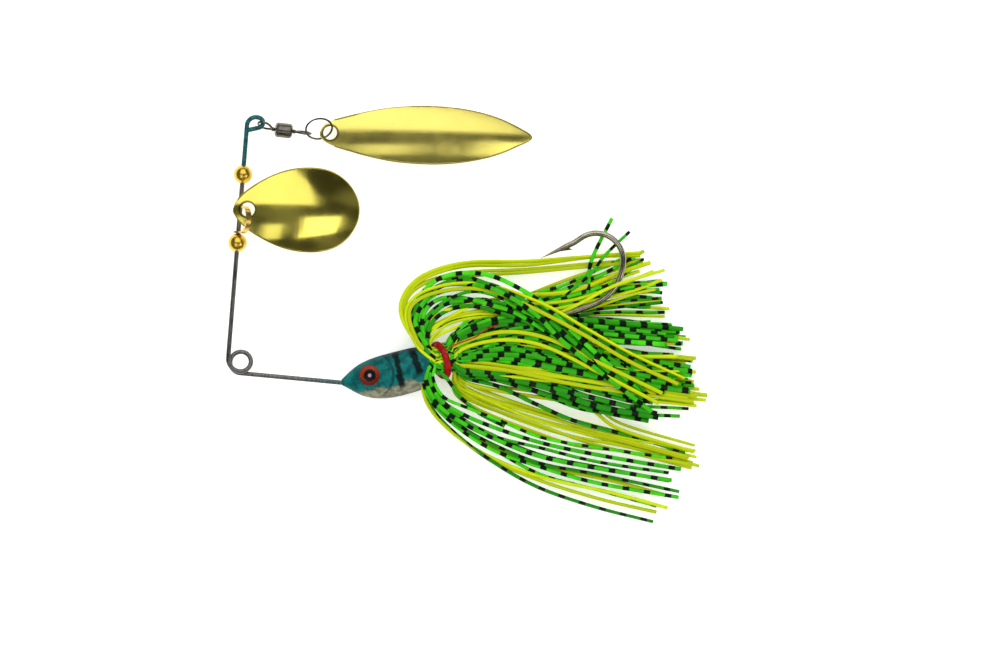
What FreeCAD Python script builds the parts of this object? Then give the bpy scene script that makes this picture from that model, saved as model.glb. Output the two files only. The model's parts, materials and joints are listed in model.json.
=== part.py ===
import FreeCAD, Part
import math
import os

V = FreeCAD.Vector

# A tandem-blade spinnerbait lying on its side on a flat surface. Millimetres.
# While it is drawn, the plane z = 0 holds the hook and the lower arm, and x = y = 0 is
# the middle of the line-tie coil. +X runs from the line tie to the skirt's ends, +Y
# from the hook's shank to the blades, and +Z away from the surface. At the end every
# solid is moved so that the origin is the middle of the object's foot print.

# --- driving dimensions ---------------------------------------------------------------
SURFACE_Z = -3.85            # the surface that the lure lies on
BOX_MIDDLE = V(49.25, 10.72, SURFACE_Z)

WIRE_R = 0.5                 # 1 mm stainless wire
ARM_Z = 1.1                  # the upper arm lies one coil pitch above the lower arm
COIL_R = 2.1
COIL_IN_R = 2.304            # last half turn, which runs out into the lower arm
COIL_OUT_R = 2.699           # first quarter turn, which comes from the upper arm
LOWER_ARM_TURN = 174.65      # heading of the lower arm, from the head to the coil
UPPER_ARM_HEADING = 85.39
LOWER_ARM_L = 27.0           # its last stretch is cast into the head
END_LOOP_Y = 50.75           # where the upper arm turns into its end loop
LOOP_R = 1.1                 # the loop's tight turn, which the swivel hangs in
LOOP_FIRST_R = 1.9           # its wider first turn
LOOP_FIRST_TURN = -95.4
LOOP_TIGHT_TURN = -157.0
LOOP_TOP_L = 0.33
LOOP_TAIL_L = 2.6
EYE_REST = 0.15              # how far the swivel's eye hangs from the middle of the tight turn

BEAD_R = 2.0
LOWER_BEAD_Y = 25.5
UPPER_BEAD_Y = 40.2
BEAD_HOLE_R = 0.57

CLEVIS_LEG = 2.75            # half the spacing of the clevis's two legs
CLEVIS_STRAIGHT = 1.9
CLEVIS_W = 1.1
CLEVIS_T = 0.4
CLEVIS_RISE = 62.0           # angle of the clevis's plane from the surface
CLEVIS_CROSSING = 53.7       # where on the bow the front blade hangs, in degrees
CLEVIS_PAD_R = 1.15

FRONT_BLADE_L = 28.0
FRONT_BLADE_W = 18.0
FRONT_BLADE_T = 0.5
FRONT_HOLE_R = 1.5
FRONT_HOLE_X = 3.05
FRONT_HOLE_AHEAD = 0.12      # from the clevis's strip to the middle of the hole
FRONT_PITCH = 16.0           # the tail rests on the surface

WILLOW_L = 45.7
WILLOW_W = 12.5
WILLOW_T = 0.34
WILLOW_HOLE_R = 1.5
WILLOW_HOLE_X = 2.2
WILLOW_ROLL = -9.0           # it lies with its +Y rim down
WILLOW_PITCH = 1.1
WILLOW_HEADING = -1.2
WILLOW_HOLE = V(19.14, 49.25, -1.93)

EYE_WIRE_R = 0.24
NECK_R = 0.47                # the twisted wire between an eye and its stem
EYE_R = 1.4                  # mean radius of both swivel eyes
FRONT_EYE_TILT = 24.0        # how far the front eye leans from upright
REAR_EYE_LEAN = 10.0
BARREL_L = 3.7
BARREL_R = 1.6
RING_R = 2.84                # mean radius of the split ring
RING_WIRE_R = 0.26
RING_TILT = 42.0
RING_SLACK = 0.9             # from the middle of the rear eye's wire to the ring's wire

HOOK_WIRE_R = 0.65
BEND_RIGHT = V(82.2, 21.8, 0)
BEND_BIG_R = 10.3
BEND_SMALL_R = 5.8
SHANK_SLOPE = 20.5
SHANK_L = 44.0
BEND_SMALL_TURN = 125.0
POINT_RUN_L = 1.2            # straight run before the point's slight outward turn
POINT_TURN_R = 4.0
POINT_TURN = -10.0
SPEAR_BASE_L = 1.6
SPEAR_L = 6.2
SPEAR_TIP_R = 0.03
BARB_W = 0.5

NOSE = V(21.5, -4.6, 0)
HEAD_SLOPE = 12.0
COLLAR_SLOPE = 17.0
FISH_EYE_R = 2.25
FISH_EYE_L = 1.2             # from its seat in the lead to the dome's top
FISH_EYE_BALL_R = 8.0
FISH_EYE_X = 27.8
FISH_EYE_Y = -2.95
FISH_EYE_SEAT = 2.5          # from the middle of the head to the eye's seat
FISH_EYE_TILT = 6.0
COLLAR_FROM = 18.6           # from the nose to where the skirt's collar starts
COLLAR_R = 2.3
COLLAR_L = 7.2
KEEPER_R = 2.75
KEEPER_FROM = 6.4
KEEPER_L = 0.8
WAIST_FROM = 2.2             # where the gathered middle of the skirt starts on the collar
WAIST_L = 3.6
WAIST_R = 3.3
BAND_FROM = 1.2
BAND_L = 1.2
BAND_R = 3.85
HOOK_ROOM = 0.15             # gap between the hook and the skirt's locks


# --- helpers --------------------------------------------------------------------------
def unit(v):
    return V(v) * (1.0 / v.Length)


def heading(deg):
    return V(math.cos(math.radians(deg)), math.sin(math.radians(deg)), 0)


def turned(v, axis, deg):
    return FreeCAD.Rotation(axis, deg).multVec(v)


def frame(origin, x_axis, z_hint):
    """A placement whose local X is x_axis and whose local Z is as near z_hint as it can be."""
    x = unit(x_axis)
    y = unit(z_hint.cross(x))
    z = x.cross(y)
    matrix = FreeCAD.Matrix(x.x, y.x, z.x, origin.x, x.y, y.y, z.y, origin.y,
                            x.z, y.z, z.z, origin.z, 0, 0, 0, 1)
    return FreeCAD.Placement(matrix)


def placed(shape, placement):
    moved = shape.copy()
    moved.transformShape(placement.toMatrix())
    return moved


class Turtle:
    """Draws a path of straight runs and tangent arcs in a plane of constant z."""

    def __init__(self, start, deg):
        self.at, self.deg, self.edges = V(start), deg, []

    def straight(self, length):
        end = self.at + heading(self.deg) * length
        self.edges.append(Part.LineSegment(self.at, end).toShape())
        self.at = end
        return self

    def bend(self, radius, turn):
        side = 90 if turn > 0 else -90
        centre = self.at + heading(self.deg + side) * radius
        middle = centre + turned(self.at - centre, V(0, 0, 1), turn / 2)
        end = centre + turned(self.at - centre, V(0, 0, 1), turn)
        self.edges.append(Part.Arc(self.at, middle, end).toShape())
        self.at = end
        self.deg += turn
        return self


def tube(edges, radius):
    """A round wire of one radius along a smooth path, checked against its length."""
    first = edges[0]
    tangent = first.tangentAt(first.FirstParameter)
    section = Part.Wire([Part.makeCircle(radius, first.valueAt(first.FirstParameter), tangent)])
    solid = Part.Solid(Part.Wire(edges).makePipeShell([section], True, False))
    wanted = math.pi * radius ** 2 * sum(e.Length for e in edges)
    if not solid.isValid() or abs(solid.Volume / wanted - 1) > 0.02:
        print("tube off:", solid.isValid(), round(solid.Volume / wanted, 3))
    return solid


def ellipse_section(centre, along, half_side, half_up):
    """A closed ellipse square to a level direction: half_side level, half_up upright."""
    major = unit(V(0, 0, 1).cross(along)) if half_side > half_up else V(0, 0, 1)
    minor = unit(along.cross(major))
    small = min(half_side, half_up)
    big = max(half_side, half_up, small * 1.001)
    curve = Part.Ellipse(centre + major * big, centre + minor * small, centre)
    return Part.Wire([curve.toShape()])


def smooth_outline(upper):
    """A closed level outline, symmetric about X, from its upper half's points."""
    lower = [V(p.x, -p.y, 0) for p in reversed(upper[1:-1])]
    curve = Part.BSplineCurve()
    curve.interpolate(upper + lower, PeriodicFlag=True)
    return Part.Wire([curve.toShape()])


# --- the bent wire --------------------------------------------------------------------
arm_dir = heading(UPPER_ARM_HEADING)
arm_side = heading(UPPER_ARM_HEADING - 90)
coil_exit = V(0, COIL_OUT_R - COIL_R, ARM_Z) - arm_side * COIL_OUT_R
coil_entry = V(0, COIL_R - COIL_IN_R, 0) - heading(LOWER_ARM_TURN - 90) * COIL_IN_R


def arm_point(y):
    """The middle of the upper arm at a given y."""
    return coil_exit + arm_dir * ((y - coil_exit.y) / arm_dir.y)


def upper_arm():
    """The wire from the foot of the coil up to the tight turn of its end loop."""
    path = Turtle(V(0, -COIL_R, ARM_Z), 180).bend(COIL_OUT_R, UPPER_ARM_HEADING - 180)
    path.straight((END_LOOP_Y - path.at.y) / arm_dir.y)
    return path.bend(LOOP_FIRST_R, LOOP_FIRST_TURN).straight(LOOP_TOP_L)


def wire_path():
    inner_end = coil_entry - heading(LOWER_ARM_TURN) * LOWER_ARM_L
    low = Turtle(inner_end, LOWER_ARM_TURN).straight(LOWER_ARM_L).bend(COIL_IN_R, -LOWER_ARM_TURN)
    step = math.hypot(COIL_R, ARM_Z / 2)
    high = upper_arm()
    rise = Part.Arc(low.at, V(step, 0, ARM_Z / 2), V(0, -COIL_R, ARM_Z)).toShape()
    high.bend(LOOP_R, LOOP_TIGHT_TURN).straight(LOOP_TAIL_L)
    return low.edges + [rise] + high.edges


def wire_form():
    return tube(wire_path(), WIRE_R)


# --- hook -----------------------------------------------------------------------------
def hook_path():
    big = BEND_RIGHT - V(BEND_BIG_R, 0, 0)
    start = big + heading(SHANK_SLOPE - 90) * BEND_BIG_R - heading(SHANK_SLOPE) * SHANK_L
    path = Turtle(start, SHANK_SLOPE).straight(SHANK_L).bend(BEND_BIG_R, 90 - SHANK_SLOPE)
    path.bend(BEND_SMALL_R, BEND_SMALL_TURN).straight(POINT_RUN_L)
    path.bend(POINT_TURN_R, POINT_TURN).straight(SPEAR_BASE_L)
    return path


def hook():
    path = hook_path()
    shank = tube(path.edges, HOOK_WIRE_R)
    ahead = heading(path.deg)
    spear = Part.makeCone(HOOK_WIRE_R, SPEAR_TIP_R, SPEAR_L, path.at, ahead)
    inner = heading(path.deg + 90)
    root = path.at + ahead * 2.6 + inner * 0.25
    back = path.at + ahead * 0.1 + inner * 0.2
    barb_tip = path.at - ahead * 0.9 + inner * 1.25
    face = Part.Face(Part.makePolygon([root, barb_tip, back, root]))
    barb = face.extrude(V(0, 0, BARB_W))
    barb.translate(V(0, 0, -BARB_W / 2))
    return shank.fuse([spear, barb]).removeSplitter()


# --- head -----------------------------------------------------------------------------
HEAD_SECTIONS = [
    # distance from the nose, half height, half width, how far the middle sags
    (0.25, 0.7, 0.75, 0.0),
    (1.2, 1.35, 1.4, 0.05),
    (3.7, 3.1, 2.7, 0.36),
    (7.0, 4.3, 3.5, 0.6),
    (11.0, 4.75, 3.75, 0.66),
    (15.0, 4.75, 3.7, 0.5),
    (18.0, 4.35, 3.5, 0.3),
    (19.6, 3.3, 2.9, 0.1),
]


def head_frame(distance):
    return NOSE + heading(HEAD_SLOPE) * distance


def eye_seat(side):
    """The middle of an eye's seat and the way that it looks: side is +1 away from the surface."""
    tilt = math.radians(FISH_EYE_TILT)
    looks = V(-math.sin(tilt), 0, side * math.cos(tilt))
    return V(FISH_EYE_X, FISH_EYE_Y, side * FISH_EYE_SEAT), looks


def fish_eye(side):
    """A domed eye on one cheek."""
    middle, looks = eye_seat(side)
    disc = Part.makeCylinder(FISH_EYE_R, FISH_EYE_L, middle, looks)
    dome = Part.makeSphere(FISH_EYE_BALL_R, middle + looks * (FISH_EYE_L - FISH_EYE_BALL_R))
    return disc.common(dome)


def eye_socket(side):
    """The eye's hole in the cheek, open outwards."""
    middle, looks = eye_seat(side)
    return Part.makeCylinder(FISH_EYE_R, 3 * FISH_EYE_L, middle, looks)


def head_casting(inserts):
    ahead = heading(HEAD_SLOPE)
    down = heading(HEAD_SLOPE - 90)
    sections = [ellipse_section(head_frame(d) + down * sag, ahead, tall, wide)
                for d, tall, wide, sag in HEAD_SECTIONS]
    body = Part.makeLoft(sections, True, False)
    collar_from = head_frame(COLLAR_FROM)
    back = heading(COLLAR_SLOPE)
    collar = Part.makeCylinder(COLLAR_R, COLLAR_L, collar_from, back)
    keeper = Part.makeCone(COLLAR_R, KEEPER_R, KEEPER_L, collar_from + back * KEEPER_FROM, back)
    lead = body.fuse([collar, keeper])
    return lead.cut(inserts)


# --- beads ----------------------------------------------------------------------------
def bead(y, hole_r):
    middle = arm_point(y)
    ball = Part.makeSphere(BEAD_R, middle)
    hole = Part.makeCylinder(hole_r, 6, middle - arm_dir * 3, arm_dir)
    return ball.cut(hole)


# --- clevis ---------------------------------------------------------------------------
clevis_middle_y = LOWER_BEAD_Y + (BEAD_R + 0.1 + CLEVIS_LEG + CLEVIS_T / 2) * arm_dir.y
clevis_middle = arm_point(clevis_middle_y)
clevis_out = turned(arm_side, arm_dir, -CLEVIS_RISE)
clevis_across = arm_dir.cross(clevis_out)


def bow_point(deg, radius=CLEVIS_LEG):
    out = CLEVIS_STRAIGHT + radius * math.cos(math.radians(deg))
    up = radius * math.sin(math.radians(deg))
    return clevis_middle + clevis_out * out + arm_dir * up


def clevis_band(radius):
    """One edge of the strip, seen square to its plane, as two legs and a bow."""
    low = clevis_middle - arm_dir * radius
    high = clevis_middle + arm_dir * radius
    bow = Part.Arc(bow_point(-90, radius), bow_point(0, radius), bow_point(90, radius))
    return [Part.LineSegment(low, bow_point(-90, radius)).toShape(), bow.toShape(),
            Part.LineSegment(bow_point(90, radius), high).toShape()]


def clevis():
    outer_r = CLEVIS_LEG + CLEVIS_T / 2
    inner_r = CLEVIS_LEG - CLEVIS_T / 2
    outer = clevis_band(outer_r)
    inner = clevis_band(inner_r)
    ends = [Part.LineSegment(clevis_middle + arm_dir * s * outer_r,
                             clevis_middle + arm_dir * s * inner_r).toShape() for s in (1, -1)]
    face = Part.Face(Part.Wire(Part.__sortEdges__(outer + inner + ends)))
    strip = face.extrude(clevis_across * CLEVIS_W)
    strip.translate(clevis_across * (-CLEVIS_W / 2))
    pads = []
    for s in (1, -1):
        start = clevis_middle + arm_dir * (s * CLEVIS_LEG - CLEVIS_T / 2)
        pads.append(Part.makeCylinder(CLEVIS_PAD_R, CLEVIS_T, start, arm_dir))
    hole = Part.makeCylinder(BEAD_HOLE_R, 10, clevis_middle - arm_dir * 5, arm_dir)
    return strip.fuse(pads).cut(hole).removeSplitter()


# --- blades ---------------------------------------------------------------------------
def dished_blade(outline, length, cross_r, long_r, thick, hole_x, hole_r):
    """A blade along local X from 0 to length, domed towards local +Z, hole on the X axis."""
    top = V(length / 2, 0, 0)
    ring_r = long_r - cross_r
    middle = top - V(0, 0, long_r)
    outer = Part.makeTorus(ring_r, cross_r + thick / 2, middle, V(0, 1, 0))
    inner = Part.makeTorus(ring_r, cross_r - thick / 2, middle, V(0, 1, 0))
    prism = Part.Face(outline).extrude(V(0, 0, 9))
    prism.translate(V(0, 0, -7))
    hole = Part.makeCylinder(hole_r, 20, V(hole_x, 0, -10), V(0, 0, 1))
    return prism.common(outer).cut(inner).cut(hole)


def dome_drop(x, length, long_r):
    """How far the blade's middle line is below its dome's top at x."""
    away = x - length / 2
    return long_r - math.sqrt(long_r ** 2 - away ** 2)


FRONT_CROSS_R = 17.5
FRONT_LONG_R = 43.0
WILLOW_CROSS_R = 12.2
WILLOW_LONG_R = 150.0


def front_outline():
    half = FRONT_BLADE_W / 2
    shape = [(0, 0), (0.022, 0.18), (0.08, 0.38), (0.2, 0.64), (0.4, 0.91), (0.62, 1.0),
             (0.82, 0.87), (0.95, 0.5), (1, 0)]
    return smooth_outline([V(x * FRONT_BLADE_L, y * half, 0) for x, y in shape])


def willow_outline():
    half = WILLOW_W / 2
    shape = [(0, 0), (0.02, 0.28), (0.09, 0.5), (0.29, 0.87), (0.5, 1.0), (0.7, 0.89),
             (0.86, 0.57), (0.96, 0.22), (1, 0)]
    return smooth_outline([V(x * WILLOW_L, y * half, 0) for x, y in shape])


def front_blade_place():
    crossing = bow_point(CLEVIS_CROSSING)
    along = turned(V(1, 0, 0), V(0, 1, 0), FRONT_PITCH)
    up = turned(V(0, 0, 1), V(0, 1, 0), FRONT_PITCH)
    hole = crossing + along * FRONT_HOLE_AHEAD
    drop = dome_drop(FRONT_HOLE_X, FRONT_BLADE_L, FRONT_LONG_R)
    return frame(hole - along * FRONT_HOLE_X + up * drop, along, up)


def front_blade():
    flat = dished_blade(front_outline(), FRONT_BLADE_L, FRONT_CROSS_R, FRONT_LONG_R, FRONT_BLADE_T,
                        FRONT_HOLE_X, FRONT_HOLE_R)
    return placed(flat, front_blade_place())


def willow_place():
    along = turned(turned(V(1, 0, 0), V(0, 1, 0), WILLOW_PITCH), V(0, 0, 1), WILLOW_HEADING)
    up = turned(V(0, 0, 1), along, WILLOW_ROLL)
    drop = dome_drop(WILLOW_HOLE_X, WILLOW_L, WILLOW_LONG_R)
    return frame(WILLOW_HOLE - along * WILLOW_HOLE_X + up * drop, along, up)


def willow_blade():
    flat = dished_blade(willow_outline(), WILLOW_L, WILLOW_CROSS_R, WILLOW_LONG_R, WILLOW_T,
                        WILLOW_HOLE_X, WILLOW_HOLE_R)
    return placed(flat, willow_place())


# --- swivel and split ring ------------------------------------------------------------
loop_turn = upper_arm()
loop_hole = loop_turn.at + heading(loop_turn.deg - 90) * LOOP_R + V(EYE_REST, 0, 0)
front_eye_dir = turned(heading(-24.3), unit(V(0, 0, 1).cross(heading(-24.3))), 12)
swivel_dir = turned(heading(-6), unit(V(0, 0, 1).cross(heading(-6))), 10)
FRONT_EYE_L = 3.455
REAR_EYE_L = 3.6
STEM_GAP = 0.45              # bare stem between an eye's neck and the barrel's face
front_neck = loop_hole + front_eye_dir * FRONT_EYE_L
barrel_face = front_neck + swivel_dir * STEM_GAP
barrel_back = barrel_face + swivel_dir * BARREL_L
rear_neck = barrel_back + swivel_dir * STEM_GAP
rear_tip = rear_neck + swivel_dir * REAR_EYE_L
upright = unit(V(0, 0, 1) - swivel_dir * swivel_dir.z)
BARREL_WALL = 0.55
BARREL_HOLE_R = 0.33
BARREL_BORE_R = 1.0
HEAD_T = 0.6


def swivel_eye(neck, along, in_plane, length, stem_dir):
    """A drop-shaped wire eye from its neck along a direction, and its headed stem."""
    centre = neck + along * (length - EYE_R)
    reach = (length - EYE_R)
    half = math.degrees(math.acos(EYE_R / reach))
    touch = [centre + (turned(along * -EYE_R, along.cross(in_plane), s * half)) for s in (1, -1)]
    far = centre + along * EYE_R
    limbs = []
    for point in touch:
        near_neck = neck + unit(point - neck) * 0.38
        limbs.append(Part.LineSegment(near_neck, point).toShape())
    back = Part.LineSegment(limbs[1].valueAt(limbs[1].LastParameter),
                            limbs[1].valueAt(limbs[1].FirstParameter)).toShape()
    wire = tube([limbs[0], Part.Arc(touch[0], far, touch[1]).toShape(), back], EYE_WIRE_R)
    knot = placed(Part.makeSphere(NECK_R), frame(neck, in_plane, along.cross(in_plane)))
    stem_l = STEM_GAP + BARREL_WALL + 0.05 + HEAD_T
    stem = Part.makeCylinder(EYE_WIRE_R, stem_l, neck, stem_dir)
    head = Part.makeCylinder(0.75, HEAD_T, neck + stem_dir * (stem_l - HEAD_T), stem_dir)
    return wire.fuse([knot, stem, head]).removeSplitter()


def front_eye():
    side = unit(V(0, 0, 1).cross(front_eye_dir))
    up = front_eye_dir.cross(side)
    tilt = math.radians(FRONT_EYE_TILT)
    in_plane = up * math.cos(tilt) + side * math.sin(tilt)
    return swivel_eye(front_neck, front_eye_dir * -1, in_plane, FRONT_EYE_L, swivel_dir)


def rear_eye():
    in_plane = turned(upright, swivel_dir, REAR_EYE_LEAN)
    return swivel_eye(rear_neck, swivel_dir, in_plane, REAR_EYE_L, swivel_dir * -1)


def barrel():
    """A turned barrel with rolled ends, hollow, with a hole at each end for the stems."""
    rim = [(0, BARREL_HOLE_R), (0, 1.05), (0.1, 1.3), (0.28, 1.48), (0.55, BARREL_R)]
    back_rim = [(BARREL_L - x, r) for x, r in reversed(rim)]
    bore = [(BARREL_L - BARREL_WALL, BARREL_HOLE_R), (BARREL_L - BARREL_WALL, BARREL_BORE_R),
            (BARREL_WALL, BARREL_BORE_R), (BARREL_WALL, BARREL_HOLE_R)]
    profile = rim + back_rim + bore[1:] + [rim[0]]
    face = Part.Face(Part.makePolygon([V(x, 0, r) for x, r in profile]))
    solid = face.revolve(V(0, 0, 0), V(1, 0, 0), 360)
    return placed(Part.Solid(solid) if solid.ShapeType == "Shell" else solid,
                  frame(barrel_face, swivel_dir, upright))


ring_touch = rear_tip - swivel_dir * RING_SLACK
ring_chord = unit(WILLOW_HOLE - ring_touch)
ring_level = unit(V(0, 0, 1).cross(ring_chord))
ring_rise = turned(ring_level, ring_chord, RING_TILT)
ring_half = (WILLOW_HOLE - ring_touch).Length / 2
ring_middle = (ring_touch + WILLOW_HOLE) * 0.5 + ring_rise * math.sqrt(RING_R ** 2 - ring_half ** 2)
ring_normal = ring_chord.cross(ring_rise)
ring_tangent = unit(ring_normal.cross(WILLOW_HOLE - ring_middle))


def split_ring():
    return Part.makeTorus(RING_R, RING_WIRE_R, ring_middle, ring_normal)


# --- skirt ----------------------------------------------------------------------------
collar_dir = heading(COLLAR_SLOPE)
collar_start = head_frame(COLLAR_FROM)


def sleeve(start, length, inner_r, outer_r):
    origin = collar_start + collar_dir * start
    outer = Part.makeCylinder(outer_r, length, origin, collar_dir)
    return outer.cut(Part.makeCylinder(inner_r, length, origin, collar_dir))


def skirt_waist():
    return sleeve(WAIST_FROM, WAIST_L, COLLAR_R, WAIST_R)


def skirt_band():
    return sleeve(WAIST_FROM + BAND_FROM, BAND_L, WAIST_R, BAND_R)


# Each lock of strands is a route of level points with a half width and a half height.
LOCKS = {
    "skirt_front_arch": [((40.2, 4.8, 0.2), 1.6, 1.6), ((36.4, 8.6, 0.0), 2.0, 2.4),
                         ((35.8, 14.0, -1.0), 2.0, 2.4), ((40.0, 18.4, -2.0), 2.0, 1.7),
                         ((50.0, 19.3, -2.4), 2.0, 1.4), ((61.0, 19.0, -2.45), 1.8, 1.3)],
    "skirt_upper_low": [((47.0, 3.6, -2.3), 1.8, 1.2), ((58.0, 10.0, -2.4), 3.0, 1.4),
                        ((74.0, 16.0, -2.4), 4.2, 1.4), ((92.0, 17.0, -2.5), 3.6, 1.3)],
    "skirt_middle_low": [((48.0, 0.0, -2.3), 1.8, 1.3), ((62.0, 2.2, -2.4), 3.2, 1.4),
                         ((80.0, 3.0, -2.4), 5.4, 1.4), ((101.0, 1.0, -2.5), 7.4, 1.3)],
    "skirt_lower_low": [((46.0, -4.4, -2.2), 1.8, 1.3), ((52.0, -12.0, -2.4), 2.8, 1.4),
                        ((66.0, -19.8, -2.4), 4.2, 1.4), ((91.5, -27.0, -2.5), 6.8, 1.3)],
    "skirt_upper_high": [((45.6, 4.6, 2.8), 1.6, 1.2), ((54.0, 13.0, 3.2), 3.0, 1.6),
                         ((66.0, 11.5, 3.2), 3.2, 1.6), ((90.0, 6.5, 1.6), 3.6, 1.5)],
    "skirt_middle_high": [((48.0, 0.2, 3.0), 1.8, 1.3), ((60.0, 1.5, 3.6), 3.0, 1.8),
                          ((78.0, -1.5, 2.4), 4.2, 1.8), ((97.0, -4.5, 0.6), 4.6, 1.5)],
    "skirt_lower_high": [((46.0, -4.8, 2.6), 1.8, 1.3), ((52.5, -11.0, 2.6), 3.0, 1.8),
                         ((66.0, -16.0, 2.2), 4.4, 1.8), ((96.0, -22.0, 0.4), 5.0, 1.4)],
}


def lock(route):
    points = [V(*p) for p, _, _ in route]
    sections = []
    for n, (point, side, up) in enumerate(zip(points, [r[1] for r in route], [r[2] for r in route])):
        before = points[max(n - 1, 0)]
        after = points[min(n + 1, len(points) - 1)]
        along = V(after.x - before.x, after.y - before.y, 0)
        sections.append(ellipse_section(point, along, side, up))
    return Part.makeLoft(sections, True, False)


def skirt_locks(keep_clear):
    made = {}
    for name, route in LOCKS.items():
        shape = lock(route).cut(keep_clear + list(made.values()))
        solids = sorted(shape.Solids, key=lambda s: s.Volume)
        made[name] = solids[-1]
    return made


# --- assembly -------------------------------------------------------------------------
def build():
    parts = {}
    parts["wire_form"] = wire_form()
    parts["hook"] = hook()
    parts["eye_near"] = fish_eye(1)
    parts["eye_far"] = fish_eye(-1)
    inserts = [parts["wire_form"], parts["hook"], eye_socket(1), eye_socket(-1)]
    parts["head_casting"] = head_casting(inserts)
    parts["lower_bead"] = bead(LOWER_BEAD_Y, WIRE_R)
    parts["upper_bead"] = bead(UPPER_BEAD_Y, BEAD_HOLE_R)
    parts["clevis"] = clevis()
    parts["front_blade"] = front_blade()
    parts["swivel_front_eye"] = front_eye()
    parts["swivel_barrel"] = barrel()
    parts["swivel_rear_eye"] = rear_eye()
    parts["split_ring"] = split_ring()
    parts["willow_blade"] = willow_blade()
    parts["skirt_waist"] = skirt_waist()
    parts["skirt_band"] = skirt_band()
    hook_room = tube(hook_path().edges, HOOK_WIRE_R + HOOK_ROOM)
    surface = Part.makeBox(200, 200, 20, V(-50, -100, SURFACE_Z - 20))
    keep_clear = [hook_room, surface, parts["head_casting"], parts["skirt_waist"], parts["skirt_band"]]
    parts.update(skirt_locks(keep_clear))
    return parts


def main():
    os.makedirs("parts", exist_ok=True)
    for name, shape in build().items():
        shape = shape.copy()
        shape.translate(BOX_MIDDLE * -1)
        shape.exportStep(f"parts/{name}.step")


main()
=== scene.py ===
import json
import math
import random

import bpy
import numpy as np
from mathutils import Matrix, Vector

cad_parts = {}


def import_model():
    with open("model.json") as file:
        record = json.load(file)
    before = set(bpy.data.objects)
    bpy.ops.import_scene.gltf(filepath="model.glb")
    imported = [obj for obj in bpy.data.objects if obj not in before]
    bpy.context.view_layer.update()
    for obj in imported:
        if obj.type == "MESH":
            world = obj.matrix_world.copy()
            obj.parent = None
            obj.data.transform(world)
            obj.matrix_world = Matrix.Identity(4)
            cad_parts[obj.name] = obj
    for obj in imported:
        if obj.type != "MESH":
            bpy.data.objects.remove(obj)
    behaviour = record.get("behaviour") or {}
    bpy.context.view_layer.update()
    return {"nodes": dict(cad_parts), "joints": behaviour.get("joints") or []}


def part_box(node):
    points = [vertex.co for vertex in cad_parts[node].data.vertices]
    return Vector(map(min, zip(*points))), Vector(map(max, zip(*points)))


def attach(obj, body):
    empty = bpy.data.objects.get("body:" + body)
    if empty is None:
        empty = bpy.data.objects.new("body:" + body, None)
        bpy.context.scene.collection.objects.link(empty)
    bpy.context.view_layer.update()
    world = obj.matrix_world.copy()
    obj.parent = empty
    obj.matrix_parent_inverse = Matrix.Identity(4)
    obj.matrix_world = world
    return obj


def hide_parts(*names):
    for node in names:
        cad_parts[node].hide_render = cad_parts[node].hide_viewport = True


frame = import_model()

MM = 0.001
NODES = frame["nodes"]
Z_UP = Vector((0, 0, 1))
RNG = random.Random(11)


def middle_of(node):
    low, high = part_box(node)
    return (low + high) / 2


def level(deg):
    """The level direction that lies at this angle from x."""
    return Vector((math.cos(math.radians(deg)), math.sin(math.radians(deg)), 0))


def put(name, data):
    """An object with this name and data, in the scene."""
    made = bpy.data.objects.new(name, data)
    bpy.context.scene.collection.objects.link(made)
    return made


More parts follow.
